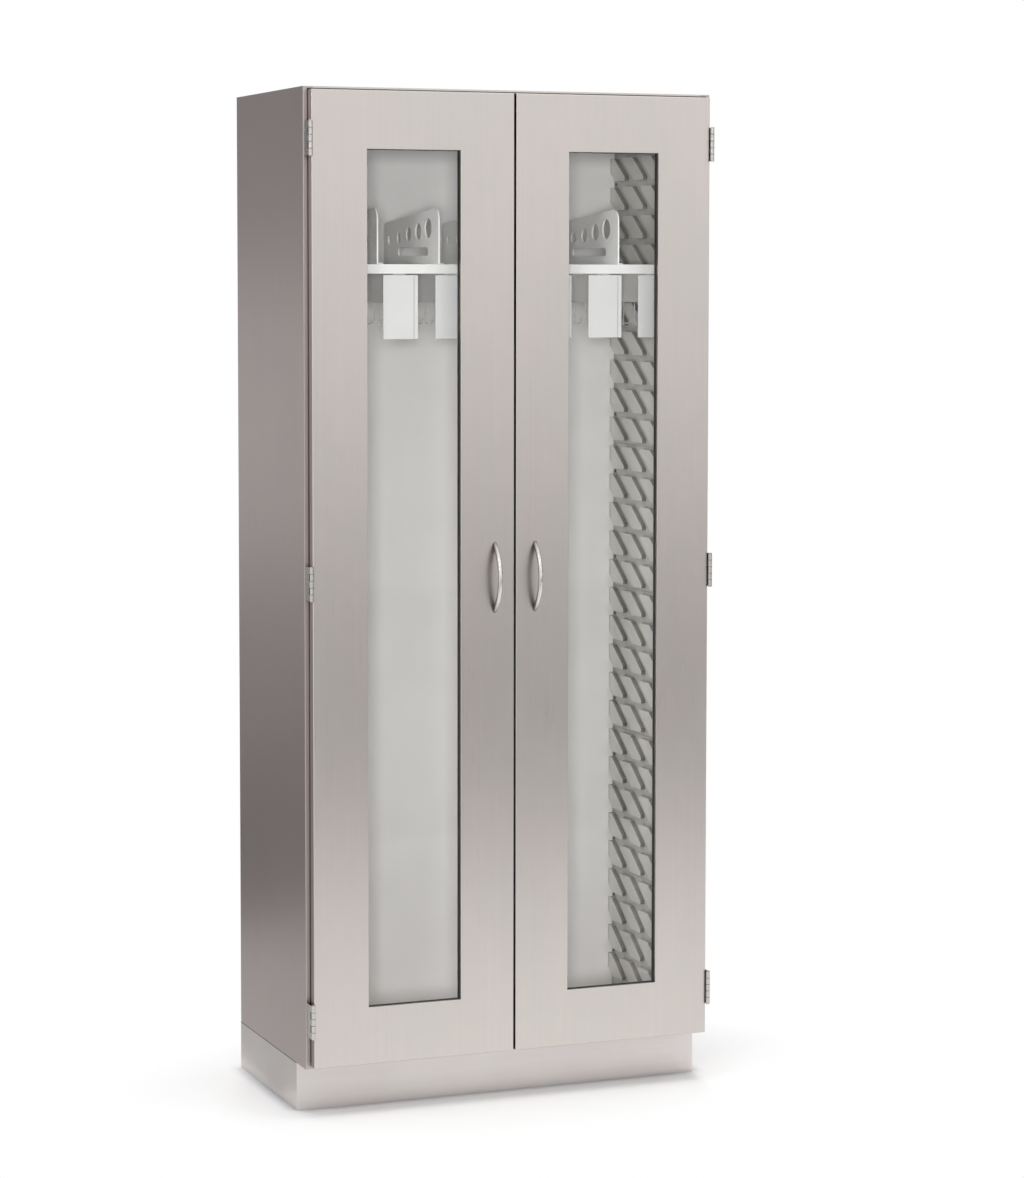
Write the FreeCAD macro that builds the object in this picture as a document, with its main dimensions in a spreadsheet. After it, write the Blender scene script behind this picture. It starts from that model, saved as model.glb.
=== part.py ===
import FreeCAD, Part
import math
import os
import re
import Sketcher

# Two-door stainless cabinet for hanging catheters: a folded steel carcass on a plinth, glazed doors on
# five-knuckle hinges, tabbed side liners, one shelf with dividers and pull-out hook rails under it.
# Millimetres. X runs to the right, Y to the rear, Z up. The origin is under the middle of the whole cabinet.

SIZES = {
    # carcass and plinth
    "carcass_width": 914.4,
    "carcass_depth": 457.2,
    "cabinet_height": 2133.6,
    "plinth_height": 101.6,
    "plinth_setback": 63.5,
    "plinth_flange": 25.0,
    "sheet": 1.2,
    "stile_width": 21.5,
    "front_lip": 26.0,
    "rear_lip": 45.0,
    "flange_height": 25.4,
    "back_recess": 12.0,
    "fold_radius": 1.5,
    "rim_radius": 0.8,
    "overrun": 5.0,
    # doors
    "door_gap": 4.0,
    "door_side_inset": 10.0,
    "door_top_inset": 7.0,
    "door_bottom_inset": 6.0,
    "door_meeting_gap": 4.0,
    "door_thickness": 20.0,
    "door_border": 120.0,
    "door_corner_radius": 2.0,
    "glass_thickness": 4.0,
    "glass_overlap": 8.0,
    "seal_thickness": 2.3,
    # handles
    "handle_span": 150.0,
    "handle_rise": 32.0,
    "handle_rod": 10.0,
    "handle_offset": 45.5,
    "handle_screw": 4.0,
    "handle_screw_inset": 9.0,
    "handle_screw_depth": 6.0,
    "screw_head": 7.0,
    "screw_head_height": 2.2,
    "screw_clearance": 0.1,
    # hinges
    "hinge_height": 70.0,
    "hinge_end_inset": 64.5,
    "hinge_pin_inset": 6.5,
    "hinge_barrel": 9.0,
    "hinge_pin": 5.0,
    "hinge_leaf": 2.0,
    "hinge_leaf_width": 17.0,
    "hinge_edge_inset": 1.0,
    "hinge_relief": 0.5,
    "hinge_head": 7.6,
    "hinge_head_height": 1.4,
    "pin_clearance": 0.05,
    "knuckle_gap": 0.3,
    # catch
    "catch_width": 70.0,
    "catch_depth": 22.0,
    "catch_height": 14.0,
    "catch_tab": 2.0,
    "catch_tab_height": 12.0,
    "strike_width": 24.0,
    "strike_thickness": 2.2,
    "strike_offset": 8.0,
    "catch_clearance": 0.3,
    # side liners
    "liner_base": 2.5,
    "liner_front_gap": 1.8,
    "liner_rear_gap": 0.5,
    "liner_foot": 31.1,
    "liner_joint": 0.8,
    "row_pitch": 65.0,
    "tab_gap": 14.0,
    "tab_rise": 10.0,
    "tab_pitch": 100.0,
    "tab_length": 64.0,
    "tab_slant": 70.0,
    "tab_corner": 5.0,
    "tab_front": 52.0,
    "liner_screw": 4.0,
    "liner_screw_length": 8.0,
    "liner_screw_inset": 12.0,
    # shelf and dividers
    "shelf_headroom": 345.0,
    "shelf_thickness": 20.0,
    "shelf_wall": 1.5,
    "shelf_setback": 40.0,
    "shelf_rear_gap": 8.0,
    "shelf_side_gap": 1.0,
    "tongue_clearance": 0.5,
    "divider_thickness": 3.0,
    "divider_front_height": 120.0,
    "divider_rear_height": 90.0,
    "divider_setback": 23.0,
    "divider_rear_gap": 37.2,
    "divider_end_room": 148.2,
    "divider_front_corner": 25.0,
    "divider_rear_corner": 12.0,
    "divider_foot": 22.0,
    "divider_slot": 18.0,
    "divider_slot_lift": 27.0,
    "divider_slot_front": 72.0,
    "divider_slot_rear": 98.0,
    "divider_hole_front": 62.0,
    "divider_hole_rear": 35.0,
    "large_hole": 42.0,
    "small_hole": 20.0,
    "large_hole_lift": 76.0,
    "small_hole_lift": 53.0,
    # hook slides
    "slide_end_room": 74.2,
    "channel_width": 26.0,
    "channel_height": 9.0,
    "channel_wall": 1.5,
    "channel_slot": 8.0,
    "channel_inset": 6.0,
    "rail_thickness": 2.0,
    "rail_drop": 61.0,
    "rail_rear_gap": 41.7,
    "slide_clearance": 0.3,
    "label_width": 77.0,
    "label_height": 133.0,
    "label_thickness": 2.5,
    "label_drop": 2.9,
    "label_advance": 2.0,
    "label_groove": 1.0,
    "label_groove_inset": 9.0,
    "hook_wire": 2.6,
    "hook_drop": 47.0,
    "hook_width": 16.0,
    "hook_tip": 13.0,
    "hook_bend": 5.0,
    "hook_first": 42.0,
    "hook_last": 73.0,
}

# Tab rows on the lowest liner panel and on each full one; the top panel takes the rows that are left.
FIRST_PANEL_ROWS = 4
PANEL_ROWS = 5
DIVIDERS = 5
SLIDES = 7
HOOKS_PER_SLIDE = 5
KNUCKLES = 5
DIVIDER_HOLES = 5

# Sizes that follow from the driving ones.
DERIVED = {
    "front_reach": "door_gap + door_thickness + handle_rise + handle_rod / 2",
    "carcass_front": "(front_reach - carcass_depth) / 2",
    "carcass_back": "carcass_front + carcass_depth",
    "carcass_left": "-carcass_width / 2",
    "floor_level": "plinth_height + sheet",
    "inner_height": "cabinet_height - plinth_height - 2 * sheet",
    "stile_edge": "carcass_left + stile_width",
    "between_stiles": "carcass_width - 2 * stile_width",
    "back_front": "carcass_back - back_recess",
    "plinth_front_face": "carcass_front + plinth_setback",
    "plinth_side_length": "carcass_depth - plinth_setback - 2 * sheet",
    "plinth_inner": "sheet + plinth_flange",
    "door_left": "carcass_left + door_side_inset",
    "door_width": "carcass_width / 2 - door_side_inset - door_meeting_gap / 2",
    "door_bottom": "plinth_height + door_bottom_inset",
    "door_height": "cabinet_height - plinth_height - door_top_inset - door_bottom_inset",
    "door_back": "carcass_front - door_gap",
    "door_front": "door_back - door_thickness",
    "door_middle": "door_bottom + door_height / 2",
    "window_left": "door_left + door_border",
    "window_bottom": "door_bottom + door_border",
    "window_width": "door_width - 2 * door_border",
    "window_height": "door_height - 2 * door_border",
    "seal_front": "door_back - sheet - seal_thickness",
    "glass_front": "seal_front - glass_thickness",
    "window_reveal": "glass_front - door_front",
    "handle_radius": "handle_rod / 2",
    "handle_half": "handle_span / 2",
    "handle_screw_level": "handle_half - handle_screw_inset",
    "handle_bow_sum": "handle_rise * handle_rise + handle_half * handle_half - handle_radius * handle_radius",
    "handle_bow": "handle_bow_sum / (2 * (handle_rise + handle_radius))",
    "handle_centre": "door_front + handle_bow - handle_rise",
    "barrel_radius": "hinge_barrel / 2",
    "pin_x": "carcass_left + hinge_pin_inset",
    "pin_y": "door_front - barrel_radius",
    "hinge_bottom": "door_middle - hinge_height / 2",
    "hinge_spacing": "door_height / 2 - hinge_end_inset - hinge_height / 2",
    "frame_leaf_x": "pin_x - barrel_radius",
    "frame_leaf_front": "pin_y + barrel_radius + hinge_relief",
    "door_leaf_x": "door_left - hinge_leaf",
    "door_leaf_front": "door_front + hinge_edge_inset",
    "catch_top": "cabinet_height - flange_height",
    "strike_rear": "door_back + strike_thickness",
    "catch_front": "strike_rear + catch_clearance",
    "liner_front": "carcass_front + sheet + liner_front_gap",
    "liner_back": "back_front - liner_rear_gap",
    "liner_face": "stile_edge + liner_base",
    "tab_face": "liner_face + tab_rise",
    "tab_margin": "tab_gap / 2",
    "tab_height": "row_pitch - tab_gap",
    "first_row": "floor_level + liner_foot",
    "ceiling_level": "floor_level + inner_height",
    "liner_rows": "floor((ceiling_level - first_row) / row_pitch)",
    "shelf_row": "floor((ceiling_level - shelf_headroom - first_row) / row_pitch)",
    "shelf_bottom": "first_row + shelf_row * row_pitch - tab_margin",
    "shelf_top": "shelf_bottom + shelf_thickness",
    "shelf_front": "carcass_front + shelf_setback",
    "shelf_depth": "back_front - shelf_rear_gap - shelf_front",
    "shelf_left": "tab_face + shelf_side_gap",
    "tongue_left": "liner_face + tongue_clearance",
    "tongue_width": "shelf_left - tongue_left",
    "tongue_height": "tab_gap - tongue_clearance",
    "tongue_length": "liner_back - liner_screw_inset - screw_head - shelf_front",
    "divider_front": "shelf_front + divider_setback",
    "divider_depth": "shelf_depth - divider_setback - divider_rear_gap",
    "divider_pitch": "(-2 * shelf_left - 2 * divider_end_room) / {}".format(DIVIDERS - 1),
    "divider_rear": "divider_front + divider_depth",
    "divider_front_top": "shelf_top + divider_front_height",
    "divider_rear_top": "shelf_top + divider_rear_height",
    "slot_radius": "divider_slot / 2",
    "slot_level": "shelf_top + divider_slot_lift",
    "slot_front": "divider_front + divider_slot_front",
    "slot_rear": "divider_rear - divider_slot_rear",
    "hole_first": "divider_front + divider_hole_front",
    "hole_pitch": "(divider_depth - divider_hole_front - divider_hole_rear) / {}".format(DIVIDER_HOLES - 1),
    "hole_shrink": "(large_hole - small_hole) / {}".format(DIVIDER_HOLES - 1),
    "hole_level": "shelf_top + large_hole_lift",
    "hole_fall": "(large_hole_lift - small_hole_lift) / {}".format(DIVIDER_HOLES - 1),
    "label_front": "shelf_front - label_advance",
    "label_back": "label_front + label_thickness",
    "label_top": "shelf_bottom - label_drop",
    "slide_pitch": "(-2 * shelf_left - 2 * slide_end_room) / {}".format(SLIDES - 1),
    "rail_length": "shelf_front + shelf_depth - rail_rear_gap - label_back",
    "rail_bottom": "shelf_bottom - rail_drop",
    "rail_flange_bottom": "shelf_bottom - channel_height + channel_wall + slide_clearance",
    "rail_flange_width": "channel_width - 2 * channel_wall - 2 * slide_clearance",
    "rail_flange_top": "rail_flange_bottom + rail_thickness",
    "hook_radius": "hook_wire / 2",
    "hook_start": "label_back + hook_first",
    "hook_pitch": "(rail_length - hook_first - hook_last) / {}".format(HOOKS_PER_SLIDE - 1),
    "hook_low": "rail_bottom - hook_drop",
    "knuckle_length": "(hinge_height - {0} * knuckle_gap) / {1}".format(KNUCKLES - 1, KNUCKLES),
    "knuckle_step": "knuckle_length + knuckle_gap",
}

doc = FreeCAD.newDocument("catheter_cabinet")
table = doc.addObject("Spreadsheet::Sheet", "Sizes")
for row, (alias, content) in enumerate(list(SIZES.items()) + list(DERIVED.items()), start=1):
    table.set("A{}".format(row), alias)
    table.set("B{}".format(row), str(content) if alias in SIZES else "=" + content)
    table.setAlias("B{}".format(row), alias)
doc.recompute()

WORD = re.compile(r"[a-z]\w*")
NODES = []


def bind(thing, prop, formula):
    """Drive a property of a document object by a formula in the sheet's names."""
    thing.setExpression(prop, WORD.sub(lambda word: "Sizes." + word.group(), formula))


def size(alias):
    """The present value of a named size, for the shapes that are built in code."""
    return float(table.get(alias))


def node(label, thing):
    """Give a finished sub-part the label that names its file."""
    thing.Label = label
    NODES.append(thing)
    return thing


def box(name, x, y, z):
    """A block; x, y and z each hold the formulas of its start and its length."""
    block = doc.addObject("Part::Box", name)
    for prop, axis, (start, length) in zip(("Length", "Width", "Height"), "xyz", (x, y, z)):
        bind(block, prop, length)
        bind(block, "Placement.Base." + axis, start)
    return block


def cylinder(name, radius, length, x, y, z, rearward=False):
    """A cylinder from the point x, y, z, upward or to the rear."""
    rod = doc.addObject("Part::Cylinder", name)
    if rearward:
        rod.Placement.Rotation = FreeCAD.Rotation(FreeCAD.Vector(1, 0, 0), -90)
    bind(rod, "Radius", radius)
    bind(rod, "Height", length)
    for axis, start in zip("xyz", (x, y, z)):
        bind(rod, "Placement.Base." + axis, start)
    return rod


def fuse(name, *pieces):
    """One solid from several that touch or overlap."""
    union = doc.addObject("Part::MultiFuse", name)
    union.Shapes = list(pieces)
    union.Refine = True
    return union


def cut(name, base, *tools):
    """The base with every tool taken away in turn; the last result carries the name."""
    for number, tool in enumerate(tools, start=1):
        result = doc.addObject("Part::Cut", name if number == len(tools) else name + "_rough")
        result.Base = base
        result.Tool = tool
        base = result
    return base


def group(name, *pieces):
    """Separate solids held together as one object."""
    bundle = doc.addObject("Part::Compound", name)
    bundle.Links = list(pieces)
    return bundle


def mirrored(name, source):
    """The right-hand twin of a left-hand piece."""
    twin = doc.addObject("Part::Mirroring", name)
    twin.Source = source
    twin.Normal = FreeCAD.Vector(1, 0, 0)
    return twin


def copy_at(name, source, **places):
    """A linked copy of a solid, moved along x, y or z by a formula."""
    link = doc.addObject("App::Link", name)
    link.LinkedObject = source
    link.LinkTransform = True
    for axis, formula in places.items():
        bind(link, "Placement.Base." + axis, formula)
    return link


def rounded(name, base, radius, chosen):
    """The base with a fillet on each edge that the test picks."""
    doc.recompute()
    fillet = doc.addObject("Part::Fillet", name)
    fillet.Base = base
    picked = [number for number, edge in enumerate(base.Shape.Edges, start=1) if chosen(edge)]
    fillet.Edges = [(number, size(radius), size(radius)) for number in picked]
    return fillet


def at(edge, axis, place):
    """True where an edge lies in the plane across an axis at a named place."""
    box_of_edge = edge.BoundBox
    low = getattr(box_of_edge, axis + "Min")
    high = getattr(box_of_edge, axis + "Max")
    return abs(low - size(place)) + abs(high - size(place)) < size("rim_radius")


def upright(edge):
    """True for an edge that runs along Z."""
    return edge.BoundBox.ZLength > edge.BoundBox.XLength + edge.BoundBox.YLength


def sketch_on(body, role, name):
    """A sketch on one of a body's own origin planes."""
    sketch = body.newObject("Sketcher::SketchObject", name)
    planes = {plane.Role: plane for plane in body.Origin.OriginFeatures}
    sketch.AttachmentSupport = [(planes[role], "")]
    sketch.MapMode = "FlatFace"
    return sketch


def hold(sketch, formula, *constraint):
    """Add a sized constraint to a sketch and drive it by a formula."""
    number = sketch.addConstraint(Sketcher.Constraint(*constraint))
    bind(sketch, "Constraints[{}]".format(number), formula)


def pin_point(sketch, geometry, point, x, y):
    """Hold one point of a sketch at two named places, measured from the sketch's origin."""
    for kind, alias in (("DistanceX", x), ("DistanceY", y)):
        hold(sketch, alias, kind, -1, 1, geometry, point, size(alias))


def outline(sketch, points):
    """A closed outline through points given as pairs of names."""
    for start, end in zip(points, points[1:] + points[:1]):
        ends = [FreeCAD.Vector(size(x), size(y), 0) for x, y in (start, end)]
        number = sketch.addGeometry(Part.LineSegment(*ends))
        pin_point(sketch, number, 1, *start)
        pin_point(sketch, number, 2, *end)


def slot(sketch, start, end, radius):
    """A round-ended slot between two points given as pairs of names."""
    ends = [FreeCAD.Vector(size(x), size(y), 0) for x, y in (start, end)]
    slope = math.atan2(ends[1].y - ends[0].y, ends[1].x - ends[0].x)
    side = FreeCAD.Vector(-math.sin(slope), math.cos(slope), 0) * size(radius)
    arcs = []
    for centre, turn, place in ((ends[0], math.pi / 2, start), (ends[1], -math.pi / 2, end)):
        circle = Part.Circle(centre, FreeCAD.Vector(0, 0, 1), size(radius))
        arc = sketch.addGeometry(Part.ArcOfCircle(circle, slope + turn, slope + turn + math.pi))
        pin_point(sketch, arc, 3, *place)
        hold(sketch, radius, "Radius", arc, size(radius))
        arcs.append(arc)
    lower = sketch.addGeometry(Part.LineSegment(ends[0] - side, ends[1] - side))
    upper = sketch.addGeometry(Part.LineSegment(ends[1] + side, ends[0] + side))
    for arc_end, line_end in (((arcs[0], 2), (lower, 1)), ((arcs[1], 1), (lower, 2)),
                              ((arcs[1], 2), (upper, 1)), ((arcs[0], 1), (upper, 2))):
        sketch.addConstraint(Sketcher.Constraint("Tangent", *arc_end, *line_end))


def side_panels(screw_holes):
    """Folded side pans: an outer sheet with a stile and a return lip at the front and at the rear."""
    whole = ("floor_level", "inner_height")
    through = ("floor_level - overrun", "inner_height + 2 * overrun")
    block = box("side_block", ("carcass_left", "stile_width"), ("carcass_front", "carcass_depth"), whole)
    folded = rounded("side_folds", block, "fold_radius",
                     lambda edge: upright(edge) and at(edge, "X", "carcass_left"))
    hollow = box("side_hollow", ("carcass_left + sheet", "stile_width - 2 * sheet"),
                 ("carcass_front + sheet", "carcass_depth - 2 * sheet"), through)
    mouth = box("side_mouth", ("stile_edge - 2 * sheet", "2 * sheet + overrun"),
                ("carcass_front + front_lip", "carcass_depth - front_lip - rear_lip"), through)
    left = node("left_side_panel", cut("left_side_panel", folded, hollow, mouth, screw_holes))
    node("right_side_panel", mirrored("right_side_panel", left))


def closing_panels():
    """Top, bottom and back of the carcass."""
    across = ("carcass_left", "carcass_width")
    between = ("stile_edge", "between_stiles")
    deep = ("carcass_front", "carcass_depth")
    front = ("carcass_front", "sheet")
    roof = box("roof", across, deep, ("cabinet_height - sheet", "sheet"))
    brow = box("brow", between, front, ("cabinet_height - flange_height", "flange_height - sheet"))
    top = fuse("top_folded", roof, brow)
    node("top_panel", rounded("top_panel", top, "rim_radius", lambda edge: at(edge, "Z", "cabinet_height")))
    floor = box("floor", across, deep, ("plinth_height", "sheet"))
    sill = box("sill", between, front, ("floor_level", "flange_height - sheet"))
    node("bottom_panel", fuse("bottom_panel", floor, sill))
    pan = box("back_block", between, ("back_front", "back_recess"), ("floor_level", "inner_height"))
    recess = box("back_hollow", ("stile_edge + sheet", "between_stiles - 2 * sheet"),
                 ("back_front + sheet", "back_recess"), ("floor_level + sheet", "inner_height - 2 * sheet"))
    node("back_panel", cut("back_panel", pan, recess))


def plinth():
    """Four folded channels under the carcass; the front one is set back."""
    high = ("0", "plinth_height")
    levels = ("0", "plinth_height - sheet")
    cross = ("carcass_left + plinth_inner", "carcass_width - 2 * plinth_inner")
    rows = (("plinth_front", "plinth_front_face", "plinth_front_face + sheet"),
            ("plinth_rear", "carcass_back - sheet", "carcass_back - plinth_inner"))
    for label, face, flange in rows:
        web = box(label + "_web", ("carcass_left", "carcass_width"), (face, "sheet"), high)
        flanges = [box(label + "_flange", cross, (flange, "plinth_flange"), (level, "sheet"))
                   for level in levels]
        node(label, fuse(label, web, *flanges))
    along = ("plinth_front_face + sheet", "plinth_side_length")
    web = box("plinth_side_web", ("carcass_left", "sheet"), along, high)
    flanges = [box("plinth_side_flange", ("carcass_left + sheet", "plinth_flange"), along, (level, "sheet"))
               for level in levels]
    left = node("plinth_left", fuse("plinth_left", web, *flanges))
    node("plinth_right", mirrored("plinth_right", left))


def liner_places():
    """Where each liner panel starts, its rows and its height, from the floor up."""
    start = size("floor_level")
    row_start = size("first_row")
    left = int(size("liner_rows"))
    rows = min(FIRST_PANEL_ROWS, left)
    while left:
        left = left - rows
        joint = row_start + rows * size("row_pitch")
        stop = joint if left else size("ceiling_level")
        yield start, stop, row_start, rows
        start = stop
        row_start = joint
        rows = min(PANEL_ROWS, left)


def liner_screw_centres():
    """The centre of every left liner screw, in the channels next to the ends of each panel."""
    inset = size("liner_screw_inset")
    for start, stop, row_start, rows in liner_places():
        for row in sorted({1, max(rows - 1, 1)}):
            for depth in (size("liner_front") + inset, size("liner_back") - inset):
                yield FreeCAD.Vector(size("liner_face"), depth, row_start + row * size("row_pitch"))


def feature(name, shape):
    """A document object that holds a shape built in code."""
    thing = doc.addObject("Part::Feature", name)
    thing.Shape = shape
    return thing


def side_rod(centre, radius, inward, outward):
    """A rod along X through a point, reaching into the cabinet and out to its side."""
    foot = centre - FreeCAD.Vector(outward, 0, 0)
    return Part.makeCylinder(radius, inward + outward, foot, FreeCAD.Vector(1, 0, 0))


def liner_holes():
    """The clearance holes for the left liner's screws, through the liner and the side's lips."""
    radius = size("liner_screw") / 2 + size("screw_clearance")
    outward = size("liner_base") + size("sheet") + size("overrun")
    rods = [side_rod(centre, radius, size("overrun"), outward) for centre in liner_screw_centres()]
    return feature("liner_holes", Part.makeCompound(rods))


def liners(screw_holes):
    """Stacked plastic panels with rows of slanted tabs on each inner side, and their screws."""
    depth = size("liner_back") - size("liner_front")
    rise = FreeCAD.Vector(size("tab_rise"), 0, 0)
    run = size("tab_length")
    slant = size("tab_slant")
    front = size("liner_front") + size("tab_front") - size("tab_pitch")
    tabs = []
    while front + run / 2 < size("liner_back"):
        corners = ((front, 0), (front + run, 0), (front + run + slant, size("tab_height")),
                   (front + slant, size("tab_height")))
        loop = [FreeCAD.Vector(size("liner_face"), y, z + size("tab_margin")) for y, z in corners]
        tab = Part.Face(Part.makePolygon(loop + loop[:1])).extrude(rise)
        corner_edges = [edge for edge in tab.Edges if edge.BoundBox.XLength > rise.x / 2]
        tabs.append(tab.makeFillet(size("tab_corner"), corner_edges))
        front = front + size("tab_pitch")
    corner = FreeCAD.Vector(size("liner_face"), size("liner_front"), 0)
    window = Part.makeBox(rise.x, depth, size("row_pitch"), corner)
    row = [tab.common(window) for tab in tabs]
    panels = []
    for start, stop, row_start, rows in liner_places():
        foot = FreeCAD.Vector(size("stile_edge"), size("liner_front"), start)
        base = Part.makeBox(size("liner_base"), depth, stop - start - size("liner_joint"), foot)
        lifts = [row_start + number * size("row_pitch") for number in range(rows)]
        raised = [tab.translated(FreeCAD.Vector(0, 0, lift)) for lift in lifts for tab in row]
        panels.append(base.fuse(raised).removeSplitter().cut(screw_holes.Shape))
    left = node("liner_left", feature("liner_left", Part.makeCompound(panels)))
    node("liner_right", mirrored("liner_right", left))
    screws = []
    for centre in liner_screw_centres():
        head = side_rod(centre, size("screw_head") / 2, size("screw_head_height"), 0)
        shank = side_rod(centre, size("liner_screw") / 2, 0, size("liner_screw_length"))
        screw = head.fuse(shank).removeSplitter()
        screws += [screw, screw.mirror(FreeCAD.Vector(), FreeCAD.Vector(1, 0, 0))]
    node("liner_screws", feature("liner_screws", Part.makeCompound(screws)))


def doors(screw_holes):
    """Hollow glazed doors: a folded front skin, the pane, its seal and an inner sheet."""
    wide = ("door_left", "door_width")
    high = ("door_bottom", "door_height")
    inner_wide = ("door_left + sheet", "door_width - 2 * sheet")
    inner_high = ("door_bottom + sheet", "door_height - 2 * sheet")
    window = (("window_left", "window_width"), ("window_bottom", "window_height"))
    pane = (("window_left - glass_overlap", "window_width + 2 * glass_overlap"),
            ("window_bottom - glass_overlap", "window_height + 2 * glass_overlap"))
    through = ("door_front - overrun", "door_thickness + 2 * overrun")
    block = box("door_block", wide, ("door_front", "door_thickness"), high)
    folded = rounded("door_folds", block, "door_corner_radius", lambda edge: not at(edge, "Y", "door_back"))
    hollow = box("door_hollow", inner_wide, ("door_front + sheet", "door_thickness"), inner_high)
    opening = box("door_opening", window[0], through, window[1])
    collar = box("window_collar", ("window_left - sheet", "window_width + 2 * sheet"),
                 ("door_front + sheet", "window_reveal - sheet"),
                 ("window_bottom - sheet", "window_height + 2 * sheet"))
    skin = fuse("door_fused", cut("door_shell", folded, hollow), collar)
    pierced = cut("door_pierced", skin, opening, *screw_holes)

    def window_rim(edge):
        inside = edge.BoundBox.XMin > size("window_left") - size("sheet")
        inside = inside and edge.BoundBox.XMax < size("window_left") + size("window_width") + size("sheet")
        long_enough = edge.Length > size("handle_span")
        return inside and long_enough and at(edge, "Y", "door_front")

    node("left_door_skin", rounded("left_door_skin", pierced, "rim_radius", window_rim))
    node("left_door_glass", box("left_door_glass", pane[0], ("glass_front", "glass_thickness"), pane[1]))
    seal = box("seal_block", pane[0], ("seal_front", "seal_thickness"), pane[1])
    node("left_door_seal", cut("left_door_seal", seal, opening))
    inner = box("inner_sheet", inner_wide, ("door_back - sheet", "sheet"), inner_high)
    node("left_door_inner", cut("left_door_inner", inner, opening, *screw_holes))


def handle_hole(number):
    """The clearance hole for one handle screw, from behind the door into the handle's end."""
    level = "door_middle + {} * handle_screw_level".format(number)
    start = "door_front - handle_screw_depth - screw_clearance"
    length = "door_thickness + handle_screw_depth + screw_clearance + overrun"
    radius = "handle_screw / 2 + screw_clearance"
    return cylinder("handle_hole", radius, length, "-handle_offset", start, level, rearward=True)


def handles(screw_holes):
    """Bow handles, bent from round rod and cut flat where they meet the door, with their screws."""
    bow = doc.addObject("Part::Torus", "handle_bow")
    bow.Placement.Rotation = FreeCAD.Rotation(FreeCAD.Vector(0, 1, 0), 90)
    bind(bow, "Radius1", "handle_bow")
    bind(bow, "Radius2", "handle_radius")
    bind(bow, "Placement.Base.x", "-handle_offset")
    bind(bow, "Placement.Base.y", "handle_centre")
    bind(bow, "Placement.Base.z", "door_middle")
    room = box("handle_room", ("-handle_offset - handle_rod", "2 * handle_rod"),
               ("door_front - handle_rise - handle_rod", "handle_rise + handle_rod"),
               ("door_middle - handle_span", "2 * handle_span"))
    trimmed = doc.addObject("Part::Common", "handle_trimmed")
    trimmed.Base = bow
    trimmed.Tool = room
    node("left_door_handle", cut("left_door_handle", trimmed, *screw_holes))
    screws = []
    for number in (-1, 1):
        level = "door_middle + {} * handle_screw_level".format(number)
        shank = cylinder("handle_shank", "handle_screw / 2", "door_thickness + handle_screw_depth",
                         "-handle_offset", "door_front - handle_screw_depth", level, rearward=True)
        head = cylinder("handle_screw_head", "screw_head / 2", "screw_head_height",
                        "-handle_offset", "door_back", level, rearward=True)
        screws.append(fuse("handle_screw", shank, head))
    node("left_handle_screws", group("left_handle_screws", *screws))


def knuckle_levels(first):
    """The bottom of every other hinge knuckle, from the first one named."""
    return ["hinge_bottom + {} * knuckle_step".format(number) for number in range(first, KNUCKLES, 2)]


def leaf(name, plates, x, tongue_length, first):
    """A hinge leaf: plates, and a tongue and a knuckle at every other step along the pin."""
    pieces = list(plates)
    for level in knuckle_levels(first):
        tall = (level, "knuckle_length")
        pieces.append(box(name + "_tongue", (x, "hinge_leaf"), ("pin_y", tongue_length), tall))
        knuckle = cylinder(name + "_knuckle", "barrel_radius", "knuckle_length", "pin_x", "pin_y", level)
        pieces.append(knuckle)
    bore = cylinder(name + "_bore", "hinge_pin / 2 + pin_clearance", "hinge_height + 2 * overrun",
                    "pin_x", "pin_y", "hinge_bottom - overrun")
    return cut(name, fuse(name + "_fused", *pieces), bore)


def three_hinges(name, middle):
    """The middle hinge's piece with copies above and below it."""
    return [middle] + [copy_at(name, middle, z="{} * hinge_spacing".format(step)) for step in (-1, 1)]


def hinges():
    """Three five-knuckle hinges on each side, wrapped round the door's edge."""
    tall = ("hinge_bottom", "hinge_height")
    stile_plate = box("stile_plate", ("frame_leaf_x", "hinge_leaf_width"),
                      ("carcass_front - hinge_leaf", "hinge_leaf"), tall)
    wall = box("frame_wall", ("frame_leaf_x", "hinge_leaf"),
               ("frame_leaf_front", "carcass_front - frame_leaf_front"), tall)
    frame_leaf = leaf("frame_leaf", (stile_plate, wall), "frame_leaf_x", "frame_leaf_front - pin_y", 0)
    left_leaves = group("left_frame_leaves", *three_hinges("frame_leaf_copy", frame_leaf))
    right_leaves = mirrored("right_frame_leaves", left_leaves)
    node("hinge_frame_leaves", group("hinge_frame_leaves", left_leaves, right_leaves))
    edge_plate = box("edge_plate", ("door_leaf_x", "hinge_leaf"),
                     ("door_leaf_front", "door_thickness - 2 * hinge_edge_inset"), tall)
    door_leaf = leaf("door_leaf", (edge_plate,), "door_leaf_x", "door_leaf_front - pin_y", 1)
    node("left_hinge_leaves", group("left_hinge_leaves", *three_hinges("door_leaf_copy", door_leaf)))
    rod = cylinder("pin_rod", "hinge_pin / 2", "hinge_height", "pin_x", "pin_y", "hinge_bottom")
    heads = [cylinder("pin_head", "hinge_head / 2", "hinge_head_height", "pin_x", "pin_y", level)
             for level in ("hinge_bottom - hinge_head_height", "hinge_bottom + hinge_height")]
    pin = fuse("hinge_pin", rod, *heads)
    left_pins = group("left_pins", *three_hinges("pin_copy", pin))
    node("hinge_pins", group("hinge_pins", left_pins, mirrored("right_pins", left_pins)))


def catch():
    """A double magnetic catch behind the top front flange, and a strike plate on each door."""
    level = ("catch_top - catch_height", "catch_height")
    housing = box("catch_housing", ("-catch_width / 2", "catch_width"), ("catch_front", "catch_depth"), level)
    tab = box("catch_tab", ("-catch_width / 2", "catch_width"), ("carcass_front + sheet", "catch_tab"),
              ("catch_top", "catch_tab_height"))
    node("door_catch", fuse("door_catch", housing, tab))
    node("left_catch_strike", box("left_catch_strike", ("-strike_offset - strike_width", "strike_width"),
                                  ("door_back", "strike_thickness"), level))


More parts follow.
